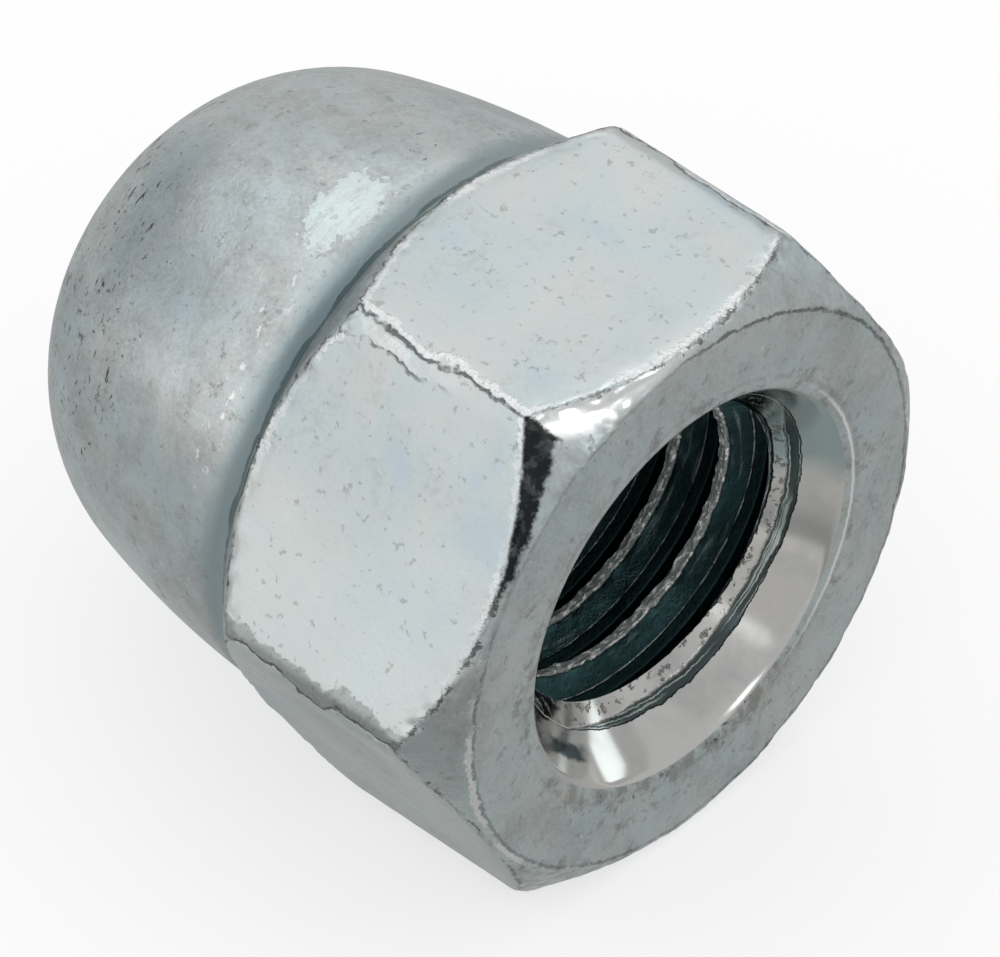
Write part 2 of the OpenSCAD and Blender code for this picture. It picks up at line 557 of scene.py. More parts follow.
def edge_gap(shape, places):
    """For each place on the hexagon, how far it is from the nearest edge."""
    flats = shape.flats_width / 2
    depth = -places[:, 0]
    radius = np.hypot(places[:, 1], places[:, 2])
    sine, cosine = math.sin(shape.chamfer_angle), math.cos(shape.chamfer_angle)
    rim = flats - shape.rim_inset
    neck = flats - NECK_CHAMFER_INSET
    surfaces = []
    for sector in range(SECTORS):
        angle = (sector + 0.5) * math.tau / SECTORS
        surfaces.append(places[:, 1] * math.cos(angle) + places[:, 2] * math.sin(angle) - flats)
    surfaces.append((radius - rim) * sine - depth * cosine)
    surfaces.append((radius - neck) * sine + (depth - shape.hexagon_height) * cosine)
    surfaces.append(-depth)
    # On the hexagon the nearest surface is its own, so the second nearest sets the gap.
    gap = -np.sort(np.stack(surfaces), axis=0)[-2]
    return np.where(depth > shape.hexagon_height, math.inf, gap)


def knock_edges(piece, shape):
    """Small dents and waves along the hexagon's edges, deepest on the edges themselves."""
    places = coordinates(piece)
    normals = vectors(piece.data.vertices, "normal")
    gap = edge_gap(shape, places)
    radius = np.hypot(places[:, 1], places[:, 2])
    reach = 0.22 * MM
    near = np.exp(-(gap / reach) ** 2)
    near[(radius < shape.sink_radius + 0.5 * MM) | (gap > 1 * MM)] = 0
    depth = np.zeros(len(places))
    for index in np.nonzero(near > LEAST_SHARE)[0]:
        at = Vector(places[index]) / MM
        wave = noise.noise(at * 1.3)
        knock = noise.noise(at * 4.1 + Vector((7, 3, 1)))
        chip = noise.noise(at * 11.0 + Vector((1, 9, 4)))
        depth[index] = 0.4 + 0.5 * wave + 0.7 * max(knock, 0) + 0.45 * max(chip, 0)
    places -= normals * (np.maximum(depth, 0) * near * shape.wear_depth)[:, None]
    set_coordinates(piece, places)


def raise_burrs(piece, shape):
    """Torn metal along the thread's crests, standing out towards the axis and along it."""
    places = coordinates(piece)
    depth = -places[:, 0]
    radius = np.hypot(places[:, 1], places[:, 2])
    crest = shape.crest_radius
    near = 1 - smoothstep(0.02 * MM, 0.10 * MM, np.abs(radius - crest))
    first_crest, last_crest = 1.75 * MM, shape.height - 5 * MM
    near[(depth < first_crest) | (depth > last_crest)] = 0
    inward = np.zeros(len(places))
    along = np.zeros(len(places))
    for index in np.nonzero(near > LEAST_SHARE)[0]:
        at = Vector(places[index]) / MM
        tear = noise.noise(at * 3.7 + Vector((4, 2, 8)))
        shift = noise.noise(at * 2.9 + Vector((9, 5, 1)))
        fine = noise.noise(at * 8.0 + Vector((2, 6, 3)))
        inward[index] = max(0.9 * tear + 0.6 * fine, 0)
        along[index] = 0.55 * shift + 0.35 * fine
    places[:, 0] += along * near * shape.burr_height
    places[:, 1:] *= (1 - inward * near * shape.burr_height / radius.clip(MM))[:, None]
    set_coordinates(piece, places)


def finish_of_faces(nut, shape):
    """Which finish each face gets: 0 outside, 1 countersink, 2 thread and bottom."""
    middles = vectors(nut.data.polygons, "center")
    facing = vectors(nut.data.polygons, "normal")
    depth = -middles[:, 0]
    radius = np.hypot(middles[:, 1], middles[:, 2])
    sink = shape.sink_radius - depth * math.tan(shape.sink_angle)
    cone_fit, mouth_depth, face_depth = 0.004 * MM, 0.45 * MM, 0.002 * MM
    on_sink = np.abs(sink - radius) < cone_fit
    outwards = (facing[:, 1] * middles[:, 1] + facing[:, 2] * middles[:, 2]) / radius.clip(1e-6)
    inside = (radius < shape.sink_radius - 0.02 * MM) & (depth > face_depth)
    inside &= depth < shape.height - shape.end_wall + 0.05 * MM
    inside &= (outwards < 0.1) | (facing[:, 0] > 0.2)
    in_hole = np.where(on_sink | (depth < mouth_depth), 1, 2)
    return np.where(inside, in_hole, 0).astype(np.int32)


def build_nut():
    shape = bpy.context.scene.cap_nut_shape
    finish = bpy.context.scene.cap_nut_finish
    nut = build_blank(shape)
    cutter = build_thread_cutter(shape)
    apply_modifier(nut, "BOOLEAN", operation="DIFFERENCE", solver="EXACT", object=cutter)
    bpy.data.objects.remove(cutter)
    nut.data.materials.clear()
    for make in (zinc_outside, zinc_sink, zinc_thread):
        nut.data.materials.append(make(finish, shape))
    nut.data.polygons.foreach_set("material_index", finish_of_faces(nut, shape))
    knock_edges(nut, shape)
    raise_burrs(nut, shape)
    make_active(nut)
    bpy.ops.object.shade_smooth_by_angle(angle=SMOOTH_ANGLE)
    return nut


# ---------------------------------------------------------------- materials

class Value:
    """A number or colour that changes over the surface. Numbers can be reckoned with."""

    def __init__(self, n, socket):
        self.n, self.socket = n, socket

    def __add__(self, other):
        return self.n.math("ADD", self, other)

    def __sub__(self, other):
        return self.n.math("SUBTRACT", self, other)

    def __rsub__(self, other):
        return self.n.math("SUBTRACT", other, self)

    def __mul__(self, other):
        return self.n.math("MULTIPLY", self, other)

    __radd__, __rmul__ = __add__, __mul__


class Nodes:
    """Short calls for building a node tree."""

    def __init__(self, tree):
        self.tree = tree
        tree.nodes.clear()

    def feed(self, socket, value):
        """Links a value from another node, or sets a plain one on the socket."""
        if isinstance(value, Value):
            self.tree.links.new(value.socket, socket)
        else:
            socket.default_value = value

    def add(self, kind, inputs=(), output=0, **settings):
        """Adds a node, and gives the value of one of its outputs if it has any."""
        node = self.tree.nodes.new("ShaderNode" + kind)
        for key, value in settings.items():
            setattr(node, key, value)
        for key, value in dict(inputs).items():
            self.feed(node.inputs[key], value)
        return Value(self, node.outputs[output]) if len(node.outputs) else None

    def group(self, tree, inputs):
        """Places a node group, and gives its outputs by name."""
        node = self.tree.nodes.new("ShaderNodeGroup")
        node.node_tree = tree
        for key, value in inputs.items():
            self.feed(node.inputs[key], value)
        return {output.name: Value(self, output) for output in node.outputs}

    def parts(self, vector):
        """A vector's X, Y and Z."""
        outputs = self.add("SeparateXYZ", {0: vector}).socket.node.outputs
        return [Value(self, output) for output in outputs]

    def vector(self, x, y):
        return self.add("CombineXYZ", {"X": x, "Y": y})

    def math(self, operation, first, second=0.0):
        return self.add("Math", {0: first, 1: second}, operation=operation)

    def most(self, *values):
        total = values[0]
        for value in values[1:]:
            total = self.math("MAXIMUM", total, value)
        return total

    def root_of_squares(self, first, second):
        return self.math("SQRT", first * first + second * second)

    def mix(self, share, first, second):
        first, second = (c if isinstance(c, Value) else (*c, 1) for c in (first, second))
        return self.add("Mix", {"Factor": share, 6: first, 7: second}, output=2, data_type="RGBA")

    def coats(self, colour, *coats):
        """Colours laid over each other, each where its mask is above nought."""
        for mask, coat in coats:
            colour = self.mix(mask, colour, coat)
        return colour

    def remap(self, value, low, high, to_low=0.0, to_high=1.0, smooth=True):
        return self.add("MapRange", {
            "Value": value, "From Min": low, "From Max": high,
            "To Min": to_low, "To Max": to_high,
        }, interpolation_type="SMOOTHSTEP" if smooth else "LINEAR")

    def band(self, value, centre, half, soft):
        """One where the value lies within half of the centre, fading to nothing over soft."""
        away = self.math("ABSOLUTE", value - centre)
        return self.remap(away, half, half + soft, 1.0, 0.0)

    def noise(self, vector, scale, detail, roughness, distortion=0.0, shift=None, stretch=None):
        if shift or stretch:
            vector = self.add("Mapping", {
                "Vector": vector, "Scale": stretch or (1, 1, 1), "Location": shift or (0, 0, 0)})
        return self.add("TexNoise", {
            "Vector": vector, "Scale": scale, "Detail": detail, "Roughness": roughness,
            "Distortion": distortion})


def node_group(name, inputs, outputs):
    """An empty shader group, its input values by name, and a call that sets its outputs."""
    tree = bpy.data.node_groups.new(name, "ShaderNodeTree")
    for socket_name, kind, default in inputs:
        socket = tree.interface.new_socket(socket_name, in_out="INPUT", socket_type=kind)
        if default is not None:
            socket.default_value = default
    for socket_name in outputs:
        tree.interface.new_socket(socket_name, in_out="OUTPUT", socket_type="NodeSocketFloat")
    n = Nodes(tree)
    sockets = tree.nodes.new("NodeGroupInput").outputs
    given = {socket.name: Value(n, socket) for socket in sockets}
    result = tree.nodes.new("NodeGroupOutput").inputs

    def give(**values):
        for key, value in values.items():
            n.feed(result[key], value)

    return tree, n, given, give


def plating_group():
    """Blotches and fine grain of electroplated zinc. Its vector is in millimetres."""
    tree, n, given, give = node_group(
        "Plating blotches",
        [("Vector", "NodeSocketVector", None), ("Size", "NodeSocketFloat", 1.0)],
        ["Blotch", "Cloud", "Grain"])
    scaled = n.add("VectorMath", {0: given["Vector"], "Scale": given["Size"]}, operation="SCALE")
    give(
        Blotch=n.noise(scaled, 1.1, 6, 0.62, 0.4),
        Cloud=n.noise(scaled, 0.35, 3, 0.5),
        Grain=n.noise(scaled, 9.0, 4, 0.7),
    )
    return tree


def pits_group():
    """Short dark pits and scratches round the axis. Its vector is in millimetres."""
    tree, n, given, give = node_group(
        "Plating pits",
        [("Vector", "NodeSocketVector", None), ("Amount", "NodeSocketFloat", 0.5)],
        ["Pit", "Scratch"])
    at, amount = given["Vector"], given["Amount"]
    x, y, z = n.parts(at)
    dashes = n.noise(n.vector(x * 6.0, n.math("ARCTAN2", y, z) * 9.0), 1.3, 4, 0.62, 0.6)
    region = n.noise(at, 0.45, 3, 0.6)
    allowed = n.most(amount * n.remap(region, 0.35, 0.68), amount - 0.36)
    limit = 0.80 - allowed * 0.21
    give(
        Scratch=n.remap(dashes - limit, 0.0, 0.05),
        Pit=n.remap(n.noise(at, 4.5, 4, 0.7) - limit, 0.0, 0.04),
    )
    return tree


def hexagon_group(shape):
    """Where a place lies on the hexagon, in millimetres: how far from its edges, and its angle.

    Front and Rear are above nought on the flats, and below it beyond their ends. Corner is the
    way round from the nearest long edge."""
    half = shape.flats_width / 2 / MM
    rim = half - shape.rim_inset / MM
    neck = half - NECK_CHAMFER_INSET / MM
    height = shape.hexagon_height / MM
    sine, cosine = math.sin(shape.chamfer_angle), math.cos(shape.chamfer_angle)
    sector = math.tau / SECTORS
    tree, n, given, give = node_group(
        "Hexagon edges",
        [("Vector", "NodeSocketVector", None)],
        ["Corner", "Front", "Rear", "Depth", "Radius", "Angle"])
    x, y, z = n.parts(given["Vector"])
    depth = x * -1.0
    radius = n.root_of_squares(y, z)
    angle = n.math("ARCTAN2", z, y)
    to_middle = n.math("FLOORED_MODULO", angle, sector) - sector / 2
    to_corner = n.math("FLOORED_MODULO", angle + sector / 2, sector) - sector / 2
    flat_gap = half - radius * n.math("COSINE", to_middle)
    front = depth * cosine - (radius - rim) * sine
    rear = (neck - radius) * sine + (height - depth) * cosine
    give(
        Corner=radius * n.math("SINE", to_corner),
        Front=front - flat_gap, Rear=rear - flat_gap,
        Depth=depth, Radius=radius, Angle=angle * (180 / math.pi),
    )
    return tree


GROUPS = {}


def shared(name, maker):
    if name not in GROUPS:
        GROUPS[name] = maker()
    return GROUPS[name]


def new_material(name):
    """A material, short calls for its nodes, and the place on the nut in millimetres."""
    material = bpy.data.materials.new(name)
    material.use_nodes = True
    n = Nodes(material.node_tree)
    place = n.add("TexCoord", output="Object")
    return material, n, n.add("VectorMath", {0: place, "Scale": 1 / MM}, operation="SCALE")


def finish_material(n, colour, roughness, height, bump_distance, metallic=1.0):
    normal = n.add("Bump", {"Height": height, "Distance": bump_distance, "Strength": 1.0})
    shader = n.add("BsdfPrincipled", {
        "Base Color": colour, "Roughness": roughness, "Metallic": metallic, "Normal": normal})
    n.add("OutputMaterial", {"Surface": shader})


# ---------------------------------------------------------------- the outside's finish

class Outside:
    """Where a place on the outside lies, in millimetres, and the unevenness that marks share."""

    def __init__(self, n, at, shape):
        self.n, self.at, self.shape = n, at, shape
        hexagon = n.group(shared("hexagon", lambda: hexagon_group(shape)), {"Vector": at})
        self.depth, self.radius, self.angle, self.front, self.rear, self.corner = (
            hexagon[key] for key in ("Depth", "Radius", "Angle", "Front", "Rear", "Corner"))
        _, y, self.height_up = n.parts(at)
        self.hexagon_end = shape.hexagon_height / MM
        self.neck_end = self.hexagon_end + shape.neck_height / MM

        self.ragged = n.noise(at, 2.6, 5, 0.68) - 0.5
        self.frayed = n.noise(at, 7.0, 4, 0.65) - 0.5
        self.wander = n.noise(at, 0.9, 3, 0.55) - 0.5
        self.fray = self.ragged * 0.34 + self.frayed * 0.22
        self.torn = n.remap(n.noise(at, 0.8, 4, 0.6, shift=(2, 8, 5)), 0.36, 0.6)

        self.end_gap = n.math("MINIMUM", self.front, self.rear)
        self.on_flat = n.remap(self.end_gap, -0.02, 0.02)
        self.on_dome = n.remap(self.depth, self.hexagon_end + 0.02, self.hexagon_end + 0.06)
        self.on_face = n.remap(self.depth, 0.25, 0.15)
        # How high up a place lies. The painted highlights along the edges keep to the upper side.
        self.upper = n.remap(self.height_up + self.wander * 5.0, 0.5, 4.2)
        # Along the axis and round it, for marks that run round the dome.
        turned = n.math("ARCTAN2", y, self.height_up)
        self.wound = n.vector(self.depth * 2.6, turned * 9.0)


def soiled_places(n, o):
    """Where dirt gathers: round the mouth, below the mouth, on the lowest rim, on the tip."""
    mouth = n.remap(o.radius, 6.2, 4.4) * n.remap(o.depth, 0.3, 0.0)
    below_mouth = mouth * n.remap(o.angle, -145, -115) * n.remap(o.angle, -45, -70)
    low_rim = n.remap(o.radius, 5.7, 6.3) * n.remap(o.depth, 1.2, 0.6)
    low_rim *= n.band(o.angle, centre=-119, half=12, soft=16)
    leaning = n.remap(o.angle, 95, 145) * 2.0
    tip = n.remap(o.depth + n.noise(o.at, 0.6, 2, 0.5) * 2.4 + leaning, 12.8, 14.4)
    return mouth, below_mouth, low_rim, tip


def plating_colour(n, o, finish, cover):
    """Clean plating that drifts between a warm and a blue haze, with duller patches."""
    haze = n.noise(o.at, 0.55, 4, 0.55, 0.3)
    colour = n.mix(n.remap(haze, 0.42, 0.68), finish.zinc, finish.zinc_warm)
    colour = n.mix(n.remap(haze, 0.46, 0.30), colour, finish.zinc_blue)
    # On the flats: darker and browner towards the bottom, and lighter, a painted light, from just
    # below the axis's height up to about 4.5 mm above it.
    underside = n.remap(o.height_up, 0.2, -0.8)
    flat_painted_light = n.remap(o.height_up, 4.5, 1.0) * (1.0 - underside)
    dull = cover["Blotch"] * 1.3 + cover["Cloud"] * 0.7 + (cover["Grain"] - 0.5) * 0.9 - 0.78
    dull += o.on_dome * 0.06 + o.on_flat * (underside * 0.16 - flat_painted_light * 0.22 - 0.30)
    colour = n.mix(n.remap(dull, -0.05, 0.75), colour, finish.zinc_dull)
    colour = n.mix(o.on_flat * flat_painted_light * 0.7, colour, finish.zinc_clean)
    return n.mix(o.on_flat * underside * 0.14, colour, finish.stain)


def stain_masks(n, o, mouth, below_mouth, low_rim):
    """Brownish stains, thickest on the dome and round the mouth, and fine specks."""
    limit = 0.655 - mouth * 0.10 + o.on_flat * 0.07 - o.on_dome * 0.025
    limit -= below_mouth * 0.055 + low_rim * 0.12
    stain = n.remap(n.noise(o.at, 2.1, 7, 0.72, shift=(3, 7, 1)) - limit, -0.05, 0.07)
    speck = n.noise(o.at, 4.4, 3, 0.6, shift=(8, 3, 2)) + o.on_flat * 0.008
    return stain, n.remap(speck, 0.63, 0.70)


def flecks_and_neck_highlights(n, o):
    """Small light flecks, and painted highlight streaks on the dome just beyond the neck."""
    fleck = n.remap(n.noise(o.at, 6.5, 3, 0.55, shift=(5, 2, 9)), 0.70, 0.76)
    scuff_highlight = n.remap(n.noise(o.wound, 1.6, 4, 0.6), 0.58, 0.64)
    scuff_highlight *= n.band(o.depth, centre=o.neck_end + 0.42, half=0.12, soft=0.35)
    scuff_highlight *= n.remap(o.angle, 110, 128) * n.remap(o.angle, 172, 155)
    return n.most(fleck * (0.55 - o.on_flat * 0.40), scuff_highlight * 0.9)


def rubbed_highlight_place(n, o):
    """One place on the dome that is rubbed smooth, with a painted highlight, an oval with a
    ragged edge.
    """
    half_length, half_width = 0.72, 1.05
    away = n.add("VectorMath", {0: o.at, 1: RUBBED_HIGHLIGHT_PLACE}, operation="SUBTRACT")
    x, y, z = n.parts(away)
    way = n.root_of_squares(x * (1 / half_length), y * (1 / half_width))
    way += o.ragged * 1.5 + o.frayed * 1.1
    streaks = n.noise(o.wound, 2.2, 3, 0.6, stretch=(1.0, 0.45, 1))
    rubbed = n.remap(way, 1.02, 0.90) * n.remap(z, -2.5, -2.0)
    return rubbed * n.remap(streaks, 0.36, 0.50, 0.5, 1.0)


def polished_highlight_place(n, o):
    """The chamfer is polished, with a painted highlight, just beside the corner with the painted
    dark reflection, and less so further round.
    """
    reach = n.remap(o.angle, DARK_REFLECTION_CORNER - 34, DARK_REFLECTION_CORNER - 3, -0.14, -0.56)
    below = o.front + o.ragged * 0.08 - reach
    polished = n.remap(o.front + o.fray * 0.2, 0.0, -0.06) * n.remap(below, -0.06, 0.24)
    polished *= n.remap(o.angle, DARK_REFLECTION_CORNER + 1, DARK_REFLECTION_CORNER) * n.remap(o.depth, 0.03, 0.08)
    return polished * n.remap(o.angle, DARK_REFLECTION_CORNER - 44, DARK_REFLECTION_CORNER - 18)


def dark_reflection_place(n, o):
    """A painted dark reflection, black along the edge of one corner's chamfer, narrower further
    round.
    """
    reach = n.remap(o.angle, DARK_REFLECTION_CORNER, DARK_REFLECTION_CORNER + 30, 0.52, 0.03, smooth=False)
    inward = o.front + reach + o.ragged * 0.34 + o.frayed * 0.12
    outward = o.fray * 0.35 - o.front
    burnt = n.remap(inward, -0.05, 0.05) * n.remap(outward, -0.05, 0.03)
    burnt *= n.remap(o.depth, 1.6, 1.4)
    burnt *= n.remap(o.angle + o.ragged * 2.5, DARK_REFLECTION_CORNER - 0.9, DARK_REFLECTION_CORNER - 0.2)
    burnt *= n.remap(o.angle, DARK_REFLECTION_CORNER + 32, DARK_REFLECTION_CORNER + 29)
    glint = n.remap(n.noise(o.at, 3.4, 3, 0.6), 0.50, 0.64)
    return burnt * (1.0 - glint * 0.12)


def neck_shade_masks(n, o):
    """The neck, darker with painted shade, the painted shade in its crease, and the stained strip
    before the crease.
    """
    neck_way = o.depth + o.wander * 0.10 + o.frayed * 0.05
    neck = o.on_dome * n.remap(neck_way, o.neck_end + 0.20, o.neck_end - 0.42)
    width = n.remap(o.wander, -0.12, 0.12) * 0.13 + 0.03
    beyond = o.depth + o.frayed * 0.06 - o.hexagon_end
    crease = n.remap(beyond - width, 0.05, -0.03) * n.remap(beyond, -0.09, -0.05)
    crease *= n.remap(o.radius, 6.5, 6.42)
    strip = n.remap(o.rear + o.fray * 0.6, 0.03, -0.03) * n.remap(o.front, -0.3, 0.3)
    strip *= n.remap(o.depth, o.hexagon_end + 0.01, o.hexagon_end - 0.03)
    return neck, crease, strip * n.remap(o.ragged, -0.30, 0.20)


def end_edge_marks(n, o):
    """On the flats' curved ends: a bright torn line with a painted highlight on the upper side,
    and a dark line of painted dark reflection at the edge itself.
    """
    gap = o.end_gap + o.fray
    uneven = n.remap(n.noise(o.at, 0.33, 2, 0.5, shift=(9, 1, 4)), 0.38, 0.62)
    bright = n.band(gap, centre=0.08, half=0.03, soft=0.06) * o.torn
    bright *= (0.25 + uneven * 0.75) * (0.1 + o.upper * 0.9)
    dark = n.band(gap, centre=-0.015, half=0.01, soft=0.035) * n.remap(o.ragged, -0.10, 0.10)
    return bright, dark


def long_edge_marks(n, o):
    """Along the six long edges: torn metal with a lip on the upper ones, bright with painted
    highlight, dark lines of painted dark reflection, and darker grey strips on the lower ones.
    """
    way = o.corner + o.wander * 0.9 + o.fray * 0.55
    here = n.remap(o.rear, -0.1, 0.0) * n.remap(o.front, -0.1, 0.0)
    to_rear = n.remap(o.depth + o.wander * 3.0, 2.6, 4.2) * n.remap(o.angle, 80, 100)
    bright = here * o.upper * n.remap(o.ragged, -0.2, 0.0)
    bright *= n.band(way, centre=-0.13, half=0.035, soft=0.07)
    dark = here * n.remap(o.ragged, -0.2, 0.05)
    dark *= n.band(way, centre=0.01, half=0.012, soft=0.05)
    lip = here * o.upper * to_rear * n.remap(o.torn, 0.1, 0.8)
    lip *= n.band(way, centre=0.26, half=0.12, soft=0.06)
    lip_dark = here * to_rear * n.remap(o.torn, 0.3, 1.0)
    lip_dark *= n.band(way, centre=0.44, half=0.01, soft=0.05)
    strip = here * (1.0 - o.upper)
    strip *= n.band(way + o.fray * 0.5, centre=-0.20, half=0.19, soft=0.05)
    return bright, dark, lip, lip_dark, strip


def face_marks(n, o):
    """On the bearing face: a bright line of painted highlight and a dark line of painted dark
    reflection along its rim, a painted highlight round part of the mouth, and a dirty ring round
    the mouth.
    """
    rim = (o.shape.flats_width / 2 - o.shape.rim_inset) / MM
    gap = rim - o.radius + o.fray * 0.6
    rim_bright_highlight = o.on_face * n.remap(o.wander, -0.12, 0.02) * n.remap(o.upper, 0.6, 0.2)
    rim_bright_highlight *= n.band(gap, centre=0.0, half=0.045, soft=0.04)
    rim_bright_highlight *= 1.0 - n.band(o.angle, centre=-86, half=46, soft=14) * 0.85
    rim_dark = o.on_face * n.remap(o.ragged, -0.20, 0.04) * n.remap(o.upper, 0.0, 0.7, 0.6, 1.0)
    rim_dark *= n.band(gap, centre=0.09, half=0.012, soft=0.045)
    rim_dark *= 1.0 - n.band(o.angle, centre=DARK_REFLECTION_CORNER + 4, half=26, soft=14) * 0.75
    gap = o.radius + o.fray * 0.25 - o.shape.sink_radius / MM
    mouth_highlight = o.on_face * n.remap(o.angle, -62, -30) * n.remap(o.angle, 52, 20)
    mouth_highlight *= n.band(gap, centre=0.17, half=0.012, soft=0.045)
    mouth_dark = o.on_face * n.remap(o.ragged, -0.12, 0.12)
    mouth_dark *= n.band(gap, centre=0.30, half=0.02, soft=0.07)
    return rim_bright_highlight, rim_dark, mouth_highlight, mouth_dark


def zinc_outside(finish, shape):
    material, n, at = new_material("zinc_outside")
    cover = n.group(shared("plating", plating_group), {"Vector": at})
    o = Outside(n, at, shape)
    mouth, below_mouth, low_rim, tip = soiled_places(n, o)
    amount = tip * 0.60 + below_mouth * 0.62 + low_rim * 0.50 + 0.62
    pits = n.group(shared("pits", pits_group), {"Vector": at, "Amount": amount})

    stain, speck = stain_masks(n, o, mouth, below_mouth, low_rim)
    pitted = n.most(pits["Scratch"] * o.on_dome * (tip * 0.60 + 0.34),
                    pits["Pit"] * (0.7 - o.on_flat * 0.3))
    # The rubbed place on the dome and the polished chamfer both carry painted highlights.
    rubbed, polished = rubbed_highlight_place(n, o), polished_highlight_place(n, o)
    neck, crease, strip = neck_shade_masks(n, o)
    end_bright_highlight, end_dark = end_edge_marks(n, o)
    long_bright_highlight, long_dark, lip, lip_dark, low_edge_strip = long_edge_marks(n, o)
    rim_bright_highlight, rim_dark, mouth_highlight, mouth_dark = face_marks(n, o)
    # The bright lines are partly wear and partly painted highlight; the dark lines are partly
    # dirt and partly painted dark reflection.
    worn_and_highlight = n.most(end_bright_highlight, rim_bright_highlight, long_bright_highlight, lip * 0.6)
    grooves_painted_dark = n.most(end_dark * 0.75, rim_dark * 0.7, long_dark * 0.8, lip_dark * 0.7)
    colour = n.coats(
        plating_colour(n, o, finish, cover),
        (stain * 0.62, finish.stain),
        (speck * 0.45, finish.stain),
        (flecks_and_neck_highlights(n, o), finish.bright_edge),
        (pitted, finish.soil),
        (rubbed * 0.5, finish.zinc_rubbed),
        (polished * 0.95, finish.polish),
        (neck * 0.9, finish.zinc_neck),
        (crease * 0.9, finish.teal),
        (strip * 0.5, finish.stain),
        (low_edge_strip * 0.75, finish.dull_edge),
        (low_edge_strip * n.remap(o.frayed, 0.04, 0.12) * 0.5, finish.stain),
        (mouth_dark * 0.35, finish.stain),
        (mouth_highlight * 0.9, finish.polish),
        (worn_and_highlight * 0.9, finish.bright_edge),
        (grooves_painted_dark, finish.soil),
        (dark_reflection_place(n, o) * 0.97, finish.burnt),
    )

    rough = n.remap(cover["Cloud"], 0.3, 0.7, 0.20, 0.30) + cover["Grain"] * 0.14
    rough += neck * 0.08 - o.on_dome * 0.04 - rubbed * 0.08 - polished * 0.16
    height = cover["Grain"] * 0.20 + cover["Blotch"] * 0.5 + worn_and_highlight * (o.frayed * 3.0 + 0.4)
    height -= pitted + grooves_painted_dark * 1.6 + crease * 0.4 + stain * 0.25
    height *= 1.0 - polished * 0.9 - rubbed * 0.4
    finish_material(n, colour, rough, height, 0.022 * MM)
    return material


# ---------------------------------------------------------------- the hole's finishes

def zinc_sink(finish, shape):
    material, n, at = new_material("zinc_countersink")
    cover = n.group(shared("plating", plating_group), {"Vector": at, "Size": 0.6})
    hexagon = n.group(shared("hexagon", lambda: hexagon_group(shape)), {"Vector": at})
    depth, angle = hexagon["Depth"], hexagon["Angle"]
    colour = n.mix(n.remap(cover["Blotch"], 0.4, 0.7), finish.sink, finish.sink_dull)
    shaded = n.remap(angle + n.noise(at, 1.1, 2, 0.5) * 10.0, 1.0, 16.0)
    colour = n.mix(shaded * 0.62, colour, finish.sink_shaded)

    # The tap has raised a lip where it set in. A groove lies before the lip, and one behind it;
    # both carry painted shade with streaks.
    fray = (n.noise(at, 2.4, 5, 0.68) - 0.5) * 0.15
    wound = depth + angle * (shape.thread_pitch / MM / 360) + fray
    start = n.remap(angle, -85, -30, 0.64, 0.76)
    end = start + n.remap(angle, -135, -90) * n.remap(angle, 40, 18) * 0.23
    before = n.remap(wound - start, -0.01, 0.02) * n.remap(wound - end, 0.02, -0.02)
    behind = n.remap(wound, 1.20, 1.24) * n.remap(angle, -140, -112)
    grooves_painted_dark = n.most(before, behind)
    streak = n.noise(n.vector(wound * 24.0, angle * 0.02), 1.0, 3, 0.6)
    film = n.mix(n.remap(streak, 0.53, 0.62), finish.film, finish.film_streak)
    film = n.mix(n.remap(streak, 0.48, 0.36), film, finish.film_deep)
    colour = n.mix(grooves_painted_dark * 0.92, colour, film)

    # A painted dark reflection, a teal streak, low on one side of the countersink.
    smear = n.band(angle + fray * 60.0, centre=-136.0, half=7.0, soft=6.0)
    smear *= n.band(depth + fray * 1.6, centre=0.66, half=0.10, soft=0.10)
    colour = n.mix(smear * 0.95, colour, finish.smear)
    lip = n.remap(wound - end, 0.0, 0.04) * n.remap(wound, 1.24, 1.20)
    torn = n.remap(n.noise(at, 5.0, 5, 0.7), 0.56, 0.62)
    colour = n.mix(lip * torn * 0.7, colour, finish.stain)

    rough = n.remap(cover["Cloud"], 0.3, 0.7, 0.10, 0.17)
    height = cover["Cloud"] * 0.3 - grooves_painted_dark * 1.2 + lip * (0.6 - torn * 0.6)
    finish_material(n, colour, rough, height, 0.03 * MM)
    return material


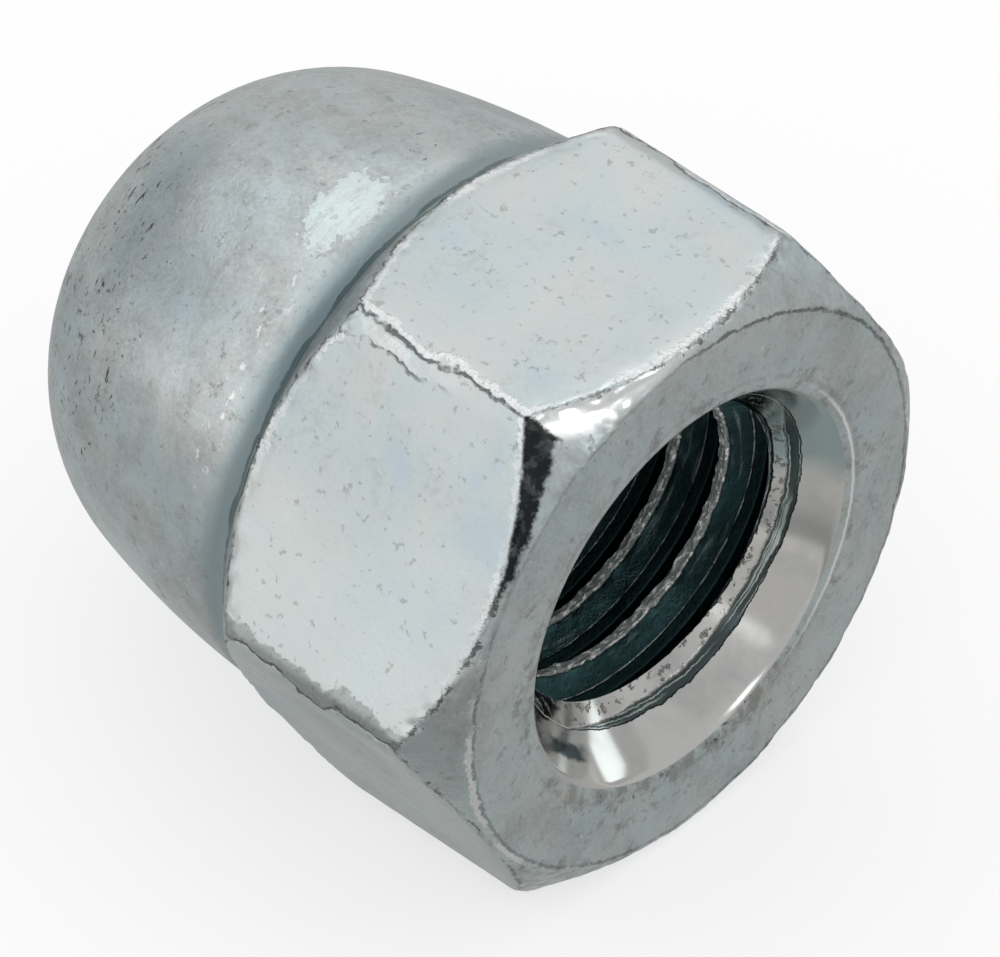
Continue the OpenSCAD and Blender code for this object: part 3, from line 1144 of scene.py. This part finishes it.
def zinc_thread(finish, shape):
    material, n, at = new_material("zinc_thread")
    cover = n.group(shared("plating", plating_group), {"Vector": at, "Size": 2.0})
    x, y, z = n.parts(at)
    radius = n.root_of_squares(y, z)
    turned = n.math("ARCTAN2", z, y)
    crest = shape.crest_radius / MM
    root = (shape.thread_diameter / 2 + shape.root_clearance) / MM
    fray = (n.noise(at, 4.0, 5, 0.65) - 0.5) * 0.14
    bottom = n.remap(radius, crest - 0.15, crest - 0.35)
    groove = n.most(bottom, n.remap(radius + fray, crest + 0.03, crest + 0.08))
    on_crest = 1.0 - groove

    # Streaks follow the helix. On the crests they are scraps of torn metal, the brightest of them
    # painted glints.
    wound = turned * (shape.thread_pitch / MM / math.tau) - x
    along = n.vector(wound * 13.0, turned * 2.2)
    streak = n.noise(along, 1.0, 4, 0.6)
    scraps = n.noise(along, 1.6, 4, 0.65, stretch=(0.5, 4.0, 1))
    torn = n.mix(n.remap(scraps, 0.50, 0.60), finish.crest, finish.crest_bright)
    # The flanks carry painted shade, darkest at the roots.
    film = n.mix(n.remap(cover["Cloud"], 0.35, 0.65), finish.thread_film, finish.thread_dark)
    film = n.mix(n.remap(streak, 0.55, 0.68) * 0.75 * (1.0 - bottom), film, finish.thread_streak)
    # The drill has left rings on the bottom.
    rings = n.noise(n.vector(radius * 5.0 + n.noise(at, 0.8, 2, 0.5), 0.0), 1.0, 3, 0.6)
    film = n.mix(bottom * n.remap(rings, 0.42, 0.62) * 0.8, film, finish.thread_streak)
    film = n.mix(n.remap(radius, root - 0.24, root - 0.16), film, finish.thread_root)
    colour = n.mix(groove, torn, film)
    # A painted glint, a thin light line along each flank beside the root, with a small ridge in
    # the bump.
    scored = n.band(radius + fray * 0.25, centre=root - 0.21, half=0.010, soft=0.022)
    colour = n.mix(
        scored * n.remap(cover["Blotch"], 0.35, 0.6) * 0.8, colour, finish.scored)

    rough = n.remap(cover["Cloud"], 0.3, 0.7, 0.18, 0.30) + on_crest * 0.34
    height = cover["Grain"] * 0.3 + cover["Blotch"] * 0.8 + scored * 0.8 + on_crest * scraps * 3.0
    finish_material(n, colour, rough, height, 0.03 * MM, 1.0 - on_crest * 0.5)
    return material


# ---------------------------------------------------------------- stage

def toward(azimuth, elevation):
    """The direction at an azimuth and elevation in degrees."""
    a, e = math.radians(azimuth), math.radians(elevation)
    return Vector((math.sin(a) * math.cos(e), -math.cos(a) * math.cos(e), math.sin(e)))


def reflection_card(card, paint):
    """Gives a card a glow of its own, which only glossy surfaces see.

    The paint is a colour, or a function that builds one from nodes."""
    material = bpy.data.materials.new(card.name)
    material.use_nodes = True
    n = Nodes(material.node_tree)
    colour = paint(n) if callable(paint) else (*paint, 1)
    glow = n.add("Emission", {"Color": colour, "Strength": 1.0})
    n.add("OutputMaterial", {"Surface": glow})
    card.data.materials.append(material)
    card.visible_camera = card.visible_diffuse = card.visible_shadow = False
    card.visible_transmission = card.visible_volume_scatter = False


def add_card(name, azimuths, elevations, colour, distance):
    """A curved card round the nut, from one azimuth and elevation to another."""
    deselect_all()
    bpy.ops.mesh.primitive_grid_add(x_subdivisions=16, y_subdivisions=8, size=1)
    card = bpy.context.object
    card.name = card.data.name = name
    for vertex in card.data.vertices:
        azimuth = azimuths[0] + (vertex.co.x + 0.5) * (azimuths[1] - azimuths[0])
        elevation = elevations[0] + (vertex.co.y + 0.5) * (elevations[1] - elevations[0])
        vertex.co = NUT_MIDDLE + toward(azimuth, elevation) * distance
    reflection_card(card, colour)


# Each card's name, its azimuths and elevations from and to, and its colour.
CARDS = (
    ("card_right", (62, 150), (-4, 46), (0.58, 0.59, 0.59)),
    ("card_high_right", (62, 150), (46, 62), (0.50, 0.51, 0.51)),
    ("card_far_right", (150, 200), (-4, 40), (0.46, 0.47, 0.47)),
    ("card_back", (-160, -106), (-4, 33), (0.68, 0.68, 0.67)),
    ("card_left", (-106, -60), (-4, 33), (0.44, 0.47, 0.50)),
    ("card_near_left", (-60, -50), (-4, 33), (0.70, 0.71, 0.72)),
    ("card_near", (22, 62), (-4, 32), (0.54, 0.54, 0.525)),
)
# The windows are brighter, and stand a little nearer.
WINDOWS = (
    ("window_left", (-114, -86), (44, 54), (1.08, 1.12, 1.12)),
    ("window_top", (150, 196), (50, 68), (1.9, 1.9, 1.9)),
    ("window_right", (85, 100), (21, 37), (2.2, 2.2, 2.2)),
    ("window_back", (160, 175), (2, 17), (1.35, 1.45, 1.45)),
)


def table_paint(n):
    """Grey, with a painted shadow near the nut on its mouth's side, and lighter behind it and far
    away.
    """
    place = n.add("TexCoord", output="Object")
    centred = n.add("VectorMath", {0: place, 1: NUT_MIDDLE}, operation="SUBTRACT")
    to_shadow_side = n.add("VectorMath", {0: centred, 1: toward(TABLE_SHADOW_SIDE, 0)},
                         output="Value", operation="DOT_PRODUCT")
    away = n.add("VectorMath", {0: centred}, output="Value", operation="LENGTH")
    colour = n.mix(n.remap(to_shadow_side, 7 * MM, 19 * MM), TABLE_LIGHT, TABLE_SHADOW)
    x, _, _ = n.parts(centred)
    colour = n.mix(n.remap(x, 0.0, -6 * MM), colour, TABLE_BEHIND)
    return n.mix(n.remap(away, 26 * MM, 48 * MM), colour, TABLE_FAR)


def add_table_card():
    """A round card on the floor under the nut."""
    deselect_all()
    bpy.ops.mesh.primitive_circle_add(vertices=64, radius=TABLE_RADIUS, fill_type="NGON")
    card = bpy.context.object
    card.name = card.data.name = "card_table"
    card.data.transform(Matrix.Translation((NUT_MIDDLE.x, 0, NUT_LOW.z + TABLE_LIFT)))
    reflection_card(card, table_paint)


def add_floor(stage):
    deselect_all()
    bpy.ops.mesh.primitive_circle_add(vertices=96, radius=FLOOR_RADIUS, fill_type="NGON")
    floor = bpy.context.object
    floor.name = floor.data.name = "floor"
    floor.data.transform(Matrix.Translation((NUT_MIDDLE.x, 0, NUT_LOW.z)))
    material = bpy.data.materials.new("pale_floor")
    material.use_nodes = True
    n = Nodes(material.node_tree)
    shader = n.add("BsdfPrincipled", {
        "Base Color": (*stage.floor, 1), "Roughness": 0.9, "Specular IOR Level": 0.0})
    glow = n.add("Emission", {"Color": (*stage.floor, 1), "Strength": 1.0})
    seen = n.add("LightPath", output="Is Camera Ray")
    pale = n.add("MixShader", {0: seen * FLOOR_GLOW, 1: shader, 2: glow})
    n.add("OutputMaterial", {"Surface": pale})
    floor.data.materials.append(material)


def add_world():
    world = bpy.data.worlds.new("studio")
    bpy.context.scene.world = world
    world.use_nodes = True
    n = Nodes(world.node_tree)
    background = n.add("Background", {"Color": (1, 1, 1, 1), "Strength": 1.0})
    n.add("OutputWorld", {"Surface": background})


def add_camera():
    camera = bpy.data.cameras.new("camera")
    camera.lens = CAMERA_LENS
    camera.sensor_width = CAMERA_SENSOR
    camera.clip_start, camera.clip_end = 0.01, 10
    holder = bpy.data.objects.new("camera", camera)
    bpy.context.scene.collection.objects.link(holder)
    back = toward(CAMERA_AZIMUTH, CAMERA_ELEVATION)
    turn = math.radians(CAMERA_AZIMUTH)
    right = Vector((math.cos(turn), math.sin(turn), 0))
    up = back.cross(right)
    roll = math.radians(CAMERA_ROLL)
    side = right * math.cos(roll) + up * math.sin(roll)
    top = up * math.cos(roll) - right * math.sin(roll)
    matrix = Matrix((side, top, back)).transposed().to_4x4()
    matrix.translation = Vector(CAMERA_TARGET) + back * CAMERA_DISTANCE
    holder.matrix_world = matrix
    bpy.context.scene.camera = holder


# ---------------------------------------------------------------- operators

class CAPNUT_OT_nut(bpy.types.Operator):
    """Build the cap nut with its thread and plating"""

    bl_idname = "capnut.nut"
    bl_label = "Cap nut"

    def execute(self, context):
        nut = build_nut()
        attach(nut, "root")
        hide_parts("cap_nut")
        return {"FINISHED"}


class CAPNUT_OT_stage(bpy.types.Operator):
    """Build the floor, world, camera and the cards that the metal reflects"""

    bl_idname = "capnut.stage"
    bl_label = "Stage"

    def execute(self, context):
        add_floor(context.scene.cap_nut_stage)
        add_world()
        add_camera()
        for card in CARDS:
            add_card(*card, CARD_DISTANCE)
        add_table_card()
        for window in WINDOWS:
            add_card(*window, WINDOW_DISTANCE)
        context.scene.view_settings.view_transform = "Standard"
        return {"FINISHED"}


class CAPNUT_PT_panel(bpy.types.Panel):
    """Lists the cap nut's operators"""

    bl_idname = "CAPNUT_PT_panel"
    bl_label = "Cap Nut"
    bl_space_type = "VIEW_3D"
    bl_region_type = "UI"
    bl_category = "Cap Nut"

    def draw(self, context):
        layout = self.layout
        layout.operator("capnut.nut")
        layout.operator("capnut.stage")


CLASSES = (
    CapNutShape, CapNutFinish, CapNutStage, CAPNUT_OT_nut, CAPNUT_OT_stage, CAPNUT_PT_panel)
SETTINGS = {
    "cap_nut_shape": CapNutShape, "cap_nut_finish": CapNutFinish, "cap_nut_stage": CapNutStage}


def register():
    for cls in CLASSES:
        bpy.utils.register_class(cls)
    for name, group in SETTINGS.items():
        setattr(bpy.types.Scene, name, bpy.props.PointerProperty(type=group))


def unregister():
    for name in SETTINGS:
        delattr(bpy.types.Scene, name)
    for cls in reversed(CLASSES):
        bpy.utils.unregister_class(cls)


def main():
    register()
    bpy.ops.capnut.nut()
    bpy.ops.capnut.stage()


if __name__ == "__main__":
    main()
